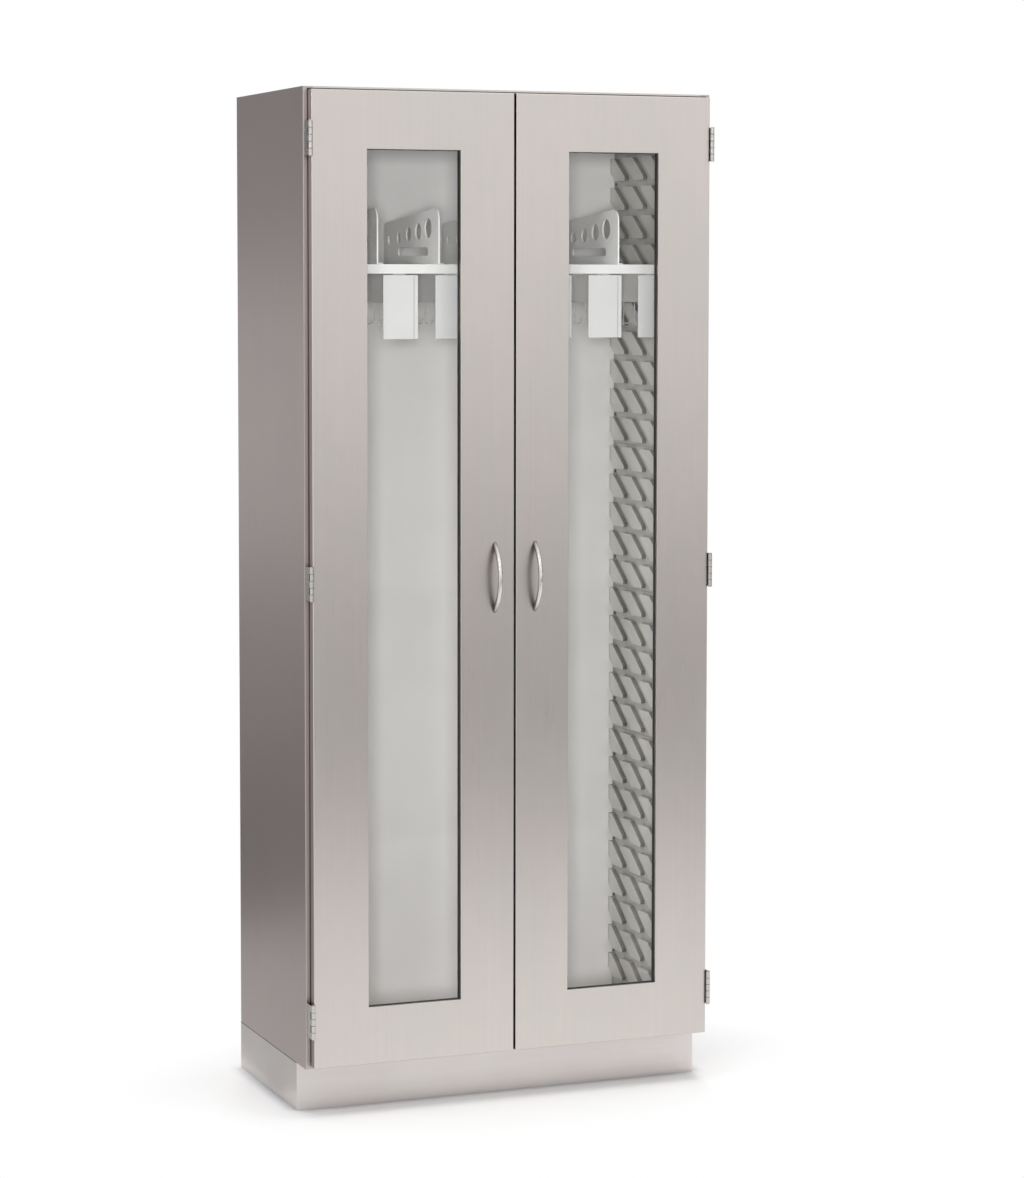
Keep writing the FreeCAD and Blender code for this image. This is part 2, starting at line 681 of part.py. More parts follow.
def shelf():
    """A folded shelf whose side tongues lie in the liners' channels, in front of the rear liner screws."""
    wide = ("shelf_left", "-2 * shelf_left")
    deep = ("shelf_front", "shelf_depth")
    block = box("shelf_block", wide, deep, ("shelf_bottom", "shelf_thickness"))

    def front_edge(edge):
        return edge.BoundBox.XLength > size("shelf_depth") and at(edge, "Y", "shelf_front")

    eased = rounded("shelf_eased", block, "fold_radius", front_edge)
    hollow = box("shelf_hollow", ("shelf_left - overrun", "-2 * shelf_left + 2 * overrun"),
                 ("shelf_front + shelf_wall", "shelf_depth - 2 * shelf_wall"),
                 ("shelf_bottom + shelf_wall", "shelf_thickness - 2 * shelf_wall"))
    tongues = [box("shelf_tongue", (start, "tongue_width"), ("shelf_front", "tongue_length"),
                   ("shelf_bottom", "tongue_height"))
               for start in ("tongue_left", "-shelf_left")]
    node("shelf", fuse("shelf", cut("shelf_tube", eased, hollow), *tongues))


def dividers():
    """Upright plates on the shelf with a sloping top, a row of round holes and a long slot under them."""
    body = doc.addObject("PartDesign::Body", "divider_plate")
    profile = sketch_on(body, "YZ_Plane", "divider_profile")
    outline(profile, [("divider_front", "shelf_top"), ("divider_rear", "shelf_top"),
                      ("divider_rear", "divider_rear_top"), ("divider_front", "divider_front_top")])
    pad = body.newObject("PartDesign::Pad", "divider_pad")
    pad.Profile = profile
    bind(pad, "Length", "divider_thickness")
    doc.recompute()
    tip = pad
    for radius, place, top in (("divider_front_corner", "divider_front", "divider_front_top"),
                               ("divider_rear_corner", "divider_rear", "divider_rear_top")):
        corner = ["Edge{}".format(number) for number, edge in enumerate(tip.Shape.Edges, start=1)
                  if at(edge, "Y", place) and at(edge, "Z", top)]
        fillet = body.newObject("PartDesign::Fillet", radius)
        fillet.Base = (tip, corner)
        bind(fillet, "Radius", radius)
        doc.recompute()
        tip = fillet
    cutouts = sketch_on(body, "YZ_Plane", "divider_cutouts")
    slot(cutouts, ("slot_front", "slot_level"), ("slot_rear", "slot_level"), "slot_radius")
    for number in range(DIVIDER_HOLES):
        place = "hole_first + {} * hole_pitch".format(number)
        level = "hole_level - {} * hole_fall".format(number)
        radius = "(large_hole - {} * hole_shrink) / 2".format(number)
        centre = FreeCAD.Vector(size("hole_first") + number * size("hole_pitch"), size("hole_level"), 0)
        round_hole = Part.Circle(centre, FreeCAD.Vector(0, 0, 1), size("small_hole"))
        circle = cutouts.addGeometry(round_hole)
        hold(cutouts, radius, "Radius", circle, round_hole.Radius)
        hold(cutouts, place, "DistanceX", -1, 1, circle, 3, centre.x)
        hold(cutouts, level, "DistanceY", -1, 1, circle, 3, centre.y)
    pocket = body.newObject("PartDesign::Pocket", "divider_pocket")
    pocket.Profile = cutouts
    pocket.Type = "ThroughAll"
    pocket.Midplane = True
    doc.recompute()
    foot = box("divider_foot", ("0", "divider_foot"),
               ("divider_front + divider_front_corner",
                "divider_depth - divider_front_corner - divider_rear_corner"),
               ("shelf_top", "divider_thickness"))
    whole = fuse("divider_whole", body, foot)
    for number in range(DIVIDERS):
        divider = group("shelf_divider", whole)
        step = number - DIVIDERS // 2
        bind(divider, "Placement.Base.x", "{} * divider_pitch - divider_thickness / 2".format(step))
        node("shelf_divider_{}".format(number + 1), divider)


def hook():
    """One wire hook under the rail: a leg, two bends, a short run and an upturned tip."""
    quarter = 90
    bend_level = "hook_low + hook_bend"

    def torus(name, x, start_angle):
        ring = doc.addObject("Part::Torus", name)
        turn = FreeCAD.Rotation(FreeCAD.Vector(1, 0, 0), quarter)
        ring.Placement.Rotation = turn.multiply(FreeCAD.Rotation(FreeCAD.Vector(0, 0, 1), start_angle))
        bind(ring, "Radius1", "hook_bend")
        bind(ring, "Radius2", "hook_radius")
        ring.Angle3 = quarter
        for axis, formula in zip("xyz", (x, "hook_start", bend_level)):
            bind(ring, "Placement.Base." + axis, formula)
        return ring

    leg = cylinder("hook_leg", "hook_radius", "hook_drop - hook_bend", "0", "hook_start", bend_level)
    tip = cylinder("hook_end", "hook_radius", "hook_tip - hook_bend", "hook_width", "hook_start", bend_level)
    run = doc.addObject("Part::Cylinder", "hook_run")
    run.Placement.Rotation = FreeCAD.Rotation(FreeCAD.Vector(0, 1, 0), quarter)
    bind(run, "Radius", "hook_radius")
    bind(run, "Height", "hook_width - 2 * hook_bend")
    for axis, formula in zip("xyz", ("hook_bend", "hook_start", "hook_low")):
        bind(run, "Placement.Base." + axis, formula)
    first = torus("hook_first_bend", "hook_bend", 2 * quarter)
    second = torus("hook_second_bend", "hook_width - hook_bend", 3 * quarter)
    return fuse("hook", leg, first, run, second, tip)


def hook_slides():
    """Pull-out rails under the shelf, each with a row of hooks and a label holder at its front."""
    deep = ("shelf_front + channel_inset", "shelf_depth - 2 * channel_inset")
    longer = ("shelf_front", "shelf_depth")
    bar = box("channel_bar", ("-channel_width / 2", "channel_width"), deep,
              ("shelf_bottom - channel_height", "channel_height"))
    bore = box("channel_bore", ("-channel_width / 2 + channel_wall", "channel_width - 2 * channel_wall"),
               longer, ("shelf_bottom - channel_height + channel_wall", "channel_height - 2 * channel_wall"))
    mouth = box("channel_mouth", ("-channel_slot / 2", "channel_slot"), longer,
                ("shelf_bottom - channel_height - overrun", "channel_wall + 2 * overrun"))
    channel = cut("channel", bar, bore, mouth)
    places = ["{} * slide_pitch".format(number - SLIDES // 2) for number in range(SLIDES)]
    channels = [copy_at("channel_copy", channel, x=place) for place in places]
    node("slide_channels", group("slide_channels", *channels))
    along = ("label_back", "rail_length")
    flange = box("rail_flange", ("-rail_flange_width / 2", "rail_flange_width"), along,
                 ("rail_flange_bottom", "rail_thickness"))
    fin = box("rail_fin", ("-rail_thickness / 2", "rail_thickness"), along,
              ("rail_bottom", "rail_flange_top - rail_bottom"))
    rail = fuse("rail", flange, fin)
    plate = box("label_plate", ("-label_width / 2", "label_width"), ("label_front", "label_thickness"),
                ("label_top - label_height", "label_height"))
    eased = rounded("label_eased", plate, "rim_radius", lambda edge: not at(edge, "Y", "label_back"))
    groove = box("label_groove", ("label_width / 2 - label_groove_inset", "label_groove"),
                 ("label_front - overrun", "label_groove + overrun"),
                 ("label_top - label_height + label_groove_inset", "label_height"))
    label_holder = cut("label_holder", eased, groove)
    wire = hook()
    wires = [copy_at("hook_copy", wire, y="{} * hook_pitch".format(number))
             for number in range(HOOKS_PER_SLIDE)]
    row = group("hook_row", *wires)
    for number, place in enumerate(places, start=1):
        for label, source in (("hook_rail", rail), ("hooks", row), ("label_holder", label_holder)):
            piece = group(label, source)
            bind(piece, "Placement.Base.x", place)
            node("{}_{}".format(label, number), piece)


def right_door(left_pieces):
    """The right door's pieces are the left door's mirrored."""
    for left in left_pieces:
        label = left.Label.replace("left_", "right_")
        node(label, mirrored(label, left))


def check_document():
    """Stop before writing anything if an object failed or a sub-part has no sound solid."""
    for thing in doc.Objects:
        if "Invalid" in thing.State or "Error" in thing.State:
            raise RuntimeError("{} failed: {}".format(thing.Label, thing.State))
    for thing in NODES:
        if thing.Shape.isNull() or not thing.Shape.isValid() or not thing.Shape.Solids:
            raise RuntimeError("{} has no sound solid".format(thing.Label))


side_holes = liner_holes()
handle_holes = [handle_hole(number) for number in (-1, 1)]
side_panels(side_holes)
closing_panels()
plinth()
liners(side_holes)
carcass_nodes = len(NODES)
doors(handle_holes)
handles(handle_holes)
hinges()
catch()
right_door([thing for thing in NODES[carcass_nodes:] if thing.Label.startswith("left_")])
shelf()
dividers()
hook_slides()
doc.recompute()
check_document()
os.makedirs("parts", exist_ok=True)
for thing in NODES:
    thing.Shape.exportStep("parts/{}.step".format(thing.Label))
    print(thing.Label, len(thing.Shape.Solids), "solids", round(thing.Shape.Volume), "mm3")
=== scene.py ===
import math

import bmesh
import bpy
from mathutils import Matrix, Vector


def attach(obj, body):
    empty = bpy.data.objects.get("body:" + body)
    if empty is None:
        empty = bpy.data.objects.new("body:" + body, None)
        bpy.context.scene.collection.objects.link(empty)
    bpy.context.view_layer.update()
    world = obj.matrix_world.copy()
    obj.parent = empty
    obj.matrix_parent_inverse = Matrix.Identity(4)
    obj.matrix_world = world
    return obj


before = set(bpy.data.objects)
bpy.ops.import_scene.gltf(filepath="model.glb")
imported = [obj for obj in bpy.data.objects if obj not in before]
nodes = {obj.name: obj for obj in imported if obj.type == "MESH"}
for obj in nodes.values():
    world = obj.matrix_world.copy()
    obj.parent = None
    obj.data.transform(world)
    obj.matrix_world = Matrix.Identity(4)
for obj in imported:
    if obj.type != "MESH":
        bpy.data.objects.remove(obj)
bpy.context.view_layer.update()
scene = bpy.context.scene
scene.view_settings.view_transform = "Standard"

SIDES = (("left", -1), ("right", 1))
WHITE = (1.0, 1.0, 1.0)

# The photograph's frame and the camera that was fitted to the cabinet's edges in it.
IMAGE_WIDTH = 1024
IMAGE_HEIGHT = 1178
EYE = (-2.4957, -6.3579, 1.7483)
TURN_DEG = 21.189
DIP_DEG = 3.947
FOCAL_PX = 3166.2
CENTRE_PX = (463.0, 494.0)
SENSOR = 36.0
CLIP_END = 100.0

# Places in metres, as the part has them.
TAB_FACE_X = 0.4236
LINER_FACE_X = 0.4325
DOOR_FRONT_Y = -0.2221
FLANGE_Y = -0.1981
PIN = (0.4507, -0.2266)
HINGE_LEVELS = (0.2071, 1.1171, 2.0271)
HINGE_HALF = 0.035
KNUCKLE = 0.01376
KNUCKLE_STEP = 0.01406
KNUCKLE_JOINTS = 4
BARREL = 0.0045
WINDOW_X = (0.1220, 0.3272)
WINDOW_Z = (0.2276, 2.0066)
PLINTH_TOP = 0.1016
PLINTH_X = 0.4572
PLINTH_Y = (-0.1334, 0.2591)

# A noise texture's values lie mostly between these two.
NOISE_LOW = 0.3
NOISE_HIGH = 0.7
AO_SAMPLES = 8

# Satin steel: the streaks' scale against the grain's, then scales of noise, shares of a colour and weights.
STREAK_SCALE = 0.22
GRAIN_ROUGHNESS = 0.6
CLOUD_SCALE = 6.5
CLOUD_STRETCH = (1, 1, 0.7)
BLOTCH_SCALE = 26.0
TINT_SHARE = 0.85
TINT_FROM = (0.38, 0.62)
BLOTCH_SHARE = 0.16
BLOTCH_SHADE = 0.93
STREAK_SHADE = 0.965
STREAK_FROM = (0.25, 0.75)
FINE_WEIGHT = 0.85
CLOUD_WEIGHT = 0.15
STEEL_IOR = 1.6
GRAIN_STRENGTH = 0.35
GRAIN_DEPTH = 0.00002

# Painted shade on the edges of a folded sheet: how far from the middle two doors meet, and how far behind the
# front
# # the shade on an edge begins and is full.
MEETING_X = (0.02, 0.1)
MEETING_DEPTH = (0.0001, 0.0007)
FOLD_DEPTH = (0.0004, 0.0018)
FLANGE_FOLD = 0.0034

# Plastics, paint and glass. Clouds are a scale and two factors, a stray is added to a mean roughness, and a
# bump is a strength and a depth.
PLASTIC_CLOUDS = (7.0, 0.955, 1.02)
PLASTIC_STRAY = (-0.06, 0.07)
SPECK_BUMP = (0.25, 0.00004)
SPECK_SHARE = 0.18
SPECK_SHADE = 0.873
# Painted shade in a label's grooves: its share, and the inner part of the groove where it is full.
PAINTED_GROOVE_SHADE = 0.55
GROOVE_FLOOR = 0.7

PLATE_GRAIN = 700.0
PLATE_CLOUDS = (12.0, 0.96, 1.02)
PLATE_ROUGH = (0.32, 0.46)
PLATE_BUMP = (0.2, 0.00003)
PLATE_GLOW = 0.1
PLATE_GLOW_REACH = 0.004

LINER_GRAIN = 900.0
LINER_CLOUDS = (9.0, 0.96, 1.02)
LINER_ROUGH = (0.40, 0.52)
# Painted shade on the liner: on the ground between the tabs, on the tabs' side walls, and in the slots by
# openness.
PAINTED_GROUND_SHADE = 0.82
PAINTED_WALL_SHADE = 0.3
SLOT_REACH = 0.03
PAINTED_SLOT_SHADE = (0.42, 0.41, 0.39)
SLOT_OPEN = (0.2, 0.75)

PEEL_GRAIN = 420.0
PEEL_BUMP = (0.2, 0.00006)
PAINT_CLOUDS = (9.0, 0.965, 1.01)
PAINT_STRAY = (-0.05, 0.07)

SMEAR_SCALE = 3.5
SMEAR_STRETCH = (1, 1, 0.35)
PANE_CAST = (0.996, 0.997, 0.995)
PANE_ROUGH = (0.015, 0.05)
PANE_IOR = 1.33


def shade(colour, factor):
    """A colour made darker or lighter by a factor, and no lighter than white."""
    return tuple(min(1.0, part * factor) for part in colour)


class Graph:
    """A material's node tree with short calls for the nodes used here."""

    def __init__(self, name):
        self.material = bpy.data.materials.new(name)
        self.material.use_nodes = True
        self.tree = self.material.node_tree
        self.shader = self.tree.nodes["Principled BSDF"]
        self.output = self.tree.nodes["Material Output"]
        self.place = self.tree.nodes.new("ShaderNodeTexCoord").outputs["Object"]

    def add(self, kind, **settings):
        node = self.tree.nodes.new(kind)
        for name, value in settings.items():
            setattr(node, name, value)
        return node

    def link(self, source, target):
        self.tree.links.new(source, target)

    def set(self, **values):
        for name, value in values.items():
            self.shader.inputs[name.replace("_", " ")].default_value = value

    def stretched(self, scale):
        """Object coordinates scaled apart along the three axes."""
        mapping = self.add("ShaderNodeMapping")
        mapping.inputs["Scale"].default_value = scale
        self.link(self.place, mapping.inputs["Vector"])
        return mapping.outputs["Vector"]

    def axes(self, vector):
        """The X, Y and Z parts of a vector."""
        node = self.add("ShaderNodeSeparateXYZ")
        self.link(vector, node.inputs["Vector"])
        return node.outputs

    def noise(self, scale, stretch=(1, 1, 1), detail=4.0, roughness=0.55):
        texture = self.add("ShaderNodeTexNoise")
        texture.inputs["Scale"].default_value = scale
        texture.inputs["Detail"].default_value = detail
        texture.inputs["Roughness"].default_value = roughness
        self.link(self.stretched(stretch), texture.inputs["Vector"])
        return texture.outputs["Fac"]

    def openness(self, reach):
        """How open a place is to what lies within a reach, from 0 to 1."""
        node = self.add("ShaderNodeAmbientOcclusion", samples=AO_SAMPLES)
        node.inputs["Distance"].default_value = reach
        return node.outputs["AO"]

    def spread(self, value, low, high, start=NOISE_LOW, end=NOISE_HIGH):
        """A texture value drawn out to a range of plain numbers."""
        node = self.add("ShaderNodeMapRange")
        node.inputs["From Min"].default_value = start
        node.inputs["From Max"].default_value = end
        node.inputs["To Min"].default_value = low
        node.inputs["To Max"].default_value = high
        self.link(value, node.inputs["Value"])
        return node.outputs["Result"]

    def math(self, operation, first, second=0.0):
        node = self.add("ShaderNodeMath", operation=operation)
        for socket, value in zip(node.inputs, (first, second)):
            if isinstance(value, (int, float)):
                socket.default_value = value
            else:
                self.link(value, socket)
        return node.outputs["Value"]

    def ramp(self, value, *stops):
        """Colours along a value, given as (place, colour) pairs."""
        node = self.add("ShaderNodeValToRGB")
        elements = node.color_ramp.elements
        while len(elements) < len(stops):
            elements.new(0.5)
        for element, (place, colour) in zip(elements, stops):
            element.position = place
            element.color = (*colour, 1)
        self.link(value, node.inputs["Fac"])
        return node.outputs["Color"]

    def clouds(self, colour, scale, low, high, detail=3.0):
        """A colour that is softly darker and lighter, by two factors, in clouds."""
        return self.ramp(self.noise(scale, detail=detail),
                         (NOISE_LOW, shade(colour, low)), (NOISE_HIGH, shade(colour, high)))

    def mix(self, share, first, second, blend="MIX"):
        node = self.add("ShaderNodeMix", data_type="RGBA", blend_type=blend)
        for socket, value in ((node.inputs[0], share), (node.inputs[6], first), (node.inputs[7], second)):
            if isinstance(value, (int, float)):
                socket.default_value = value
            elif isinstance(value, tuple):
                socket.default_value = (*value, 1)
            else:
                self.link(value, socket)
        return node.outputs[2]

    def times(self, first, second, share=1.0):
        return self.mix(share, first, second, "MULTIPLY")

    def blend(self, share, first, second):
        """Two shaders mixed by a share, as the material's surface."""
        node = self.add("ShaderNodeMixShader")
        self.link(share, node.inputs["Fac"])
        self.link(first, node.inputs[1])
        self.link(second, node.inputs[2])
        self.link(node.outputs["Shader"], self.output.inputs["Surface"])

    def bump(self, height, strength, distance):
        node = self.add("ShaderNodeBump")
        node.inputs["Strength"].default_value = strength
        node.inputs["Distance"].default_value = distance
        self.link(height, node.inputs["Height"])
        self.link(node.outputs["Normal"], self.shader.inputs["Normal"])

    def colour(self, value):
        self.link(value, self.shader.inputs["Base Color"])

    def rough(self, value):
        self.link(value, self.shader.inputs["Roughness"])


def brushed(name, colour, grain, tint, rough=(0.30, 0.42), shine=1.0, edge=None, hollow=None):
    """Satin steel: fine grain along one axis, soft cloudy tone and faint warm and cool mottling.

    With an edge, given as (front y, direction, share), the folded-back edges of a sheet get painted shade.
    With a hollow, given as (reach, share, least, most), the steel gets painted shade where something stands
    close to it;
    on a sheet with an edge only the edge in the middle does, where two doors meet."""
    g = Graph(name)
    fine = g.noise(1.0, grain, detail=3.0, roughness=GRAIN_ROUGHNESS)
    streak = g.noise(1.0, tuple(part * STREAK_SCALE for part in grain), roughness=GRAIN_ROUGHNESS)
    cloud = g.noise(CLOUD_SCALE, CLOUD_STRETCH, detail=3.0)
    blotch = g.noise(BLOTCH_SCALE, detail=2.0)
    tone = g.mix(g.spread(cloud, 0.0, TINT_SHARE, *TINT_FROM), colour, tint)
    tone = g.mix(g.spread(blotch, 0.0, BLOTCH_SHARE), tone, shade(colour, BLOTCH_SHADE))
    streaks = g.ramp(streak, (STREAK_FROM[0], shade(WHITE, STREAK_SHADE)), (STREAK_FROM[1], WHITE))
    tone = g.times(tone, streaks)
    meeting_shade_mask = 1.0
    if edge:
        front, direction, share = edge
        across, along, _ = g.axes(g.place)
        aside = g.spread(g.math("ABSOLUTE", across), 0.0, 1.0, *MEETING_X)
        behind = g.math("MULTIPLY", g.math("SUBTRACT", along, front), direction)
        middle = g.math("SUBTRACT", 1.0, aside)
        meeting_shade_mask = g.math("MULTIPLY", g.spread(behind, 0.0, 1.0, *MEETING_DEPTH), middle)
        # Painted shade on the folded-back edges behind the front.
        painted_fold_shade = g.math("MULTIPLY", g.spread(behind, 0.0, 1.0, *FOLD_DEPTH), aside)
        tone = g.mix(painted_fold_shade, tone, shade(colour, share))
    # Painted shade by openness: darker where something stands close, on a sheet with an edge only in the
    # meeting gap.
    if hollow:
        reach, share, least, most = hollow
        dark = g.ramp(g.openness(reach), (least, shade(WHITE, share)), (most, WHITE))
        tone = g.times(tone, dark, meeting_shade_mask)
    g.colour(tone)
    grit = g.math("ADD", g.math("MULTIPLY", fine, FINE_WEIGHT), g.math("MULTIPLY", cloud, CLOUD_WEIGHT))
    g.rough(g.spread(grit, *rough))
    g.set(Metallic=shine, IOR=STEEL_IOR)
    g.bump(fine, GRAIN_STRENGTH, GRAIN_DEPTH)
    return g.material


def plastic(name, colour, rough=0.45, grain=900.0, grooves=None):
    """Moulded plastic: fine texture, faint cloudiness and a slightly uneven gloss.

    With grooves, given as (first x, pitch, half width), the plastic gets painted shade in the upright
    grooves."""
    g = Graph(name)
    speck = g.noise(grain, detail=2.0)
    tone = g.clouds(colour, *PLASTIC_CLOUDS)
    tone = g.mix(g.spread(speck, 0.0, SPECK_SHARE), tone, shade(colour, SPECK_SHADE))
    # Painted shade in the upright grooves.
    if grooves:
        first, pitch, half = grooves
        across = g.axes(g.place)["X"]
        turns = g.math("MULTIPLY", g.math("SUBTRACT", across, first - pitch / 2), 1 / pitch)
        off = g.math("ABSOLUTE", g.math("SUBTRACT", g.math("FRACT", turns), 0.5))
        painted_groove_shade = g.spread(off, 1.0, 0.0, GROOVE_FLOOR * half / pitch, half / pitch)
        tone = g.mix(painted_groove_shade, tone, shade(colour, PAINTED_GROOVE_SHADE))
    g.colour(tone)
    g.rough(g.spread(speck, rough + PLASTIC_STRAY[0], rough + PLASTIC_STRAY[1]))
    g.bump(speck, *SPECK_BUMP)
    return g.material


def clouded(name, colour):
    """Pale plastic plate that lets some light through."""
    g = Graph(name)
    speck = g.noise(PLATE_GRAIN, detail=2.0)
    g.colour(g.clouds(colour, *PLATE_CLOUDS))
    g.rough(g.spread(speck, *PLATE_ROUGH))
    g.set(Subsurface_Weight=PLATE_GLOW, Subsurface_Scale=PLATE_GLOW_REACH, Subsurface_Radius=WHITE)
    g.bump(speck, *PLATE_BUMP)
    return g.material


def louvred(name, colour):
    """Liner plastic: pale tabs with painted shade on the ground between them and on their side walls, darkest
    in the narrow slots.
    """
    g = Graph(name)
    speck = g.noise(LINER_GRAIN, detail=2.0)
    tone = g.clouds(colour, *LINER_CLOUDS)
    # Painted shade on the ground between the tabs, on the tabs' side walls and, by openness, in the slots.
    aside = g.math("ABSOLUTE", g.axes(g.place)["X"])
    tone = g.mix(g.spread(aside, 0.0, 1.0, TAB_FACE_X, LINER_FACE_X), tone, shade(colour, PAINTED_GROUND_SHADE))
    wall = g.math("ABSOLUTE", g.axes(g.add("ShaderNodeNewGeometry").outputs["Normal"])["Y"])
    tone = g.mix(g.spread(wall, 0.0, 1.0), tone, shade(colour, PAINTED_WALL_SHADE))
    painted_slot_shade = g.ramp(g.openness(SLOT_REACH), (SLOT_OPEN[0], PAINTED_SLOT_SHADE), (SLOT_OPEN[1], WHITE))
    g.colour(g.times(tone, painted_slot_shade))
    g.rough(g.spread(speck, *LINER_ROUGH))
    g.bump(speck, *SPECK_BUMP)
    return g.material


def paint(name, colour, rough=0.38):
    """Powder coat: a low orange peel over an even colour, a little dustier here and there."""
    g = Graph(name)
    peel = g.noise(PEEL_GRAIN, detail=2.0)
    g.colour(g.clouds(colour, *PAINT_CLOUDS, detail=4.0))
    g.rough(g.spread(peel, rough + PAINT_STRAY[0], rough + PAINT_STRAY[1]))
    g.bump(peel, *PEEL_BUMP)
    return g.material


def glass(name):
    """Clear pane: a straight see-through body with a weak gloss on its outer faces and a faint green cast."""
    g = Graph(name)
    smear = g.noise(SMEAR_SCALE, SMEAR_STRETCH)
    clear = g.add("ShaderNodeBsdfTransparent")
    clear.inputs["Color"].default_value = (*PANE_CAST, 1)
    gloss = g.add("ShaderNodeBsdfGlossy")
    gloss.inputs["Color"].default_value = (*WHITE, 1)
    g.link(g.spread(smear, *PANE_ROUGH), gloss.inputs["Roughness"])
    mirror = g.add("ShaderNodeFresnel")
    mirror.inputs["IOR"].default_value = PANE_IOR
    outer = g.math("SUBTRACT", 1.0, g.add("ShaderNodeNewGeometry").outputs["Backfacing"])
    g.blend(g.math("MULTIPLY", mirror.outputs["Fac"], outer), clear.outputs["BSDF"], gloss.outputs["BSDF"])
    return g.material


# Grain runs along the long way of each sheet: upright on the sides and doors, across on the top and plinth.
UPRIGHT = (1400.0, 1400.0, 9.0)
ACROSS = (9.0, 1400.0, 1400.0)
STEEL = (0.695, 0.635, 0.605)
STEEL_TINT = (0.67, 0.635, 0.60)
INNER_SHARE = 0.96
# The side steel is a darker copy of the door steel: painted shade for the sides, which the lamps light less
# than the front.
SHADED_SIDE_STEEL = (0.60, 0.525, 0.503)
SHADED_SIDE_TINT = (0.60, 0.52, 0.503)

# The side and door steels have painted shade on their folded edges; the door, handle and hinge steels have
# painted shade by openness, the door's only in the gap where the two doors meet.
materials = {
    "side": brushed("shaded_side_steel", SHADED_SIDE_STEEL, UPRIGHT, SHADED_SIDE_TINT, edge=(FLANGE_Y + FLANGE_FOLD, -1.0, 0.85)),
    "top": brushed("top_steel", STEEL, ACROSS, STEEL_TINT),
    "back": paint("back_paint", (0.91, 0.895, 0.885), rough=0.55),
    "plinth": brushed("plinth_steel", (0.745, 0.71, 0.685), ACROSS, (0.745, 0.69, 0.68), rough=(0.40, 0.52)),
    "door": brushed("door_steel", STEEL, UPRIGHT, STEEL_TINT, rough=(0.27, 0.35),
                    edge=(DOOR_FRONT_Y, 1.0, 0.65), hollow=(0.02, 0.04, 0.5, 0.95)),
    "inside": brushed("inner_steel", shade(STEEL, INNER_SHARE), UPRIGHT, shade(STEEL_TINT, INNER_SHARE),
                      rough=(0.34, 0.44)),
    "handle": brushed("handle_steel", (0.78, 0.75, 0.72), (900.0, 900.0, 30.0), (0.75, 0.725, 0.695),
                      rough=(0.23, 0.29), hollow=(0.06, 0.05, 0.68, 1.0)),
    "hinge": brushed("hinge_steel", (0.62, 0.595, 0.57), (900.0, 900.0, 60.0), (0.60, 0.58, 0.55),
                     rough=(0.22, 0.30), hollow=(0.02, 0.18, 0.5, 0.95)),
    "screw": brushed("screw_steel", (0.16, 0.155, 0.15), (700.0, 700.0, 700.0), (0.17, 0.16, 0.155)),
    "rail": brushed("rail_metal", (0.88, 0.875, 0.865), (1200.0, 12.0, 1200.0), (0.87, 0.86, 0.855),
                    rough=(0.40, 0.52), shine=0.1),
    "wire": brushed("wire_metal", (0.88, 0.875, 0.86), (500.0, 500.0, 500.0), (0.86, 0.85, 0.84),
                    rough=(0.22, 0.32), shine=0.5),
    "liner": louvred("liner_plastic", (0.78, 0.77, 0.73)),
    "divider": clouded("divider_plastic", (0.965, 0.965, 0.95)),
    # The label holders have painted shade in their upright grooves.
    "label": plastic("label_plastic", (0.585, 0.585, 0.585), rough=0.36, grain=1400.0,
                     grooves=(-0.3185, 0.116, 0.0009)),
    "catch": plastic("catch_plastic", (0.72, 0.72, 0.71)),
    "seal": plastic("seal_rubber", (0.03, 0.03, 0.03), rough=0.6),
    "shelf": paint("shelf_paint", (0.69, 0.69, 0.68)),
    "glass": glass("pane_glass"),
}

FINISH = {
    "left_side_panel": "side", "right_side_panel": "side", "top_panel": "top", "bottom_panel": "top",
    "back_panel": "back", "liner_left": "liner", "liner_right": "liner", "liner_screws": "screw",
    "shelf": "shelf", "slide_channels": "rail", "hinge_frame_leaves": "hinge", "hinge_pins": "hinge",
    "door_catch": "catch",
}
ENDINGS = {
    "door_skin": "door", "door_inner": "inside", "door_glass": "glass", "door_seal": "seal",
    "door_handle": "handle", "handle_screws": "screw", "hinge_leaves": "hinge", "catch_strike": "screw",
}
STARTS = {
    "plinth": "plinth", "shelf_divider": "divider", "hook_rail": "rail", "hooks": "wire",
    "label_holder": "label",
}


def finish_of(name):
    """The finish of a CAD node, by its name or by how the name starts or ends."""
    if name in FINISH:
        return FINISH[name]
    for ending, finish in ENDINGS.items():
        if name.endswith(ending):
            return finish
    for start, finish in STARTS.items():
        if name.startswith(start):
            return finish
    raise KeyError(name)


for name, thing in nodes.items():
    thing.data.materials.clear()
    thing.data.materials.append(materials[finish_of(name)])

# Rubber trim, in metres: dark strips that stand for the shade in the gaps beside and above the doors, washers
# between
# # the hinge knuckles, gaskets and the plinth's joint.
STRIP_X = (0.4455, 0.4482)
STRIP_RISE = 0.0032
STRIP_FULLNESS = 0.6
STRIP_STEPS = 12
STRIP_ENDS = (0.1175, 2.1229)
STRIP_CLEAR = 0.0365
HEAD_Z = (2.1230, 2.1298)
WASHER_PROUD = 0.0001
WASHER_HEIGHT = 0.0014
WASHER_ROUND = 0.00025
WASHER_STEPS = 32
GASKET = 0.0012
GASKET_Y = (-0.2136, -0.2097)
GASKET_STEPS = 8
JOINT_HALF = 0.0008
JOINT_RISE = 0.0004
JOINT_STEPS = 8


def join(work, lower, upper):
    """Faces between two rings that have as many corners each."""
    count = len(lower)
    for k in range(count):
        work.faces.new((lower[k], lower[(k + 1) % count], upper[(k + 1) % count], upper[k]))


def closed(work, rings):
    """A closed body through a row of rings."""
    for lower, upper in zip(rings, rings[1:]):
        join(work, lower, upper)
    work.faces.new(rings[0][::-1])
    work.faces.new(rings[-1])


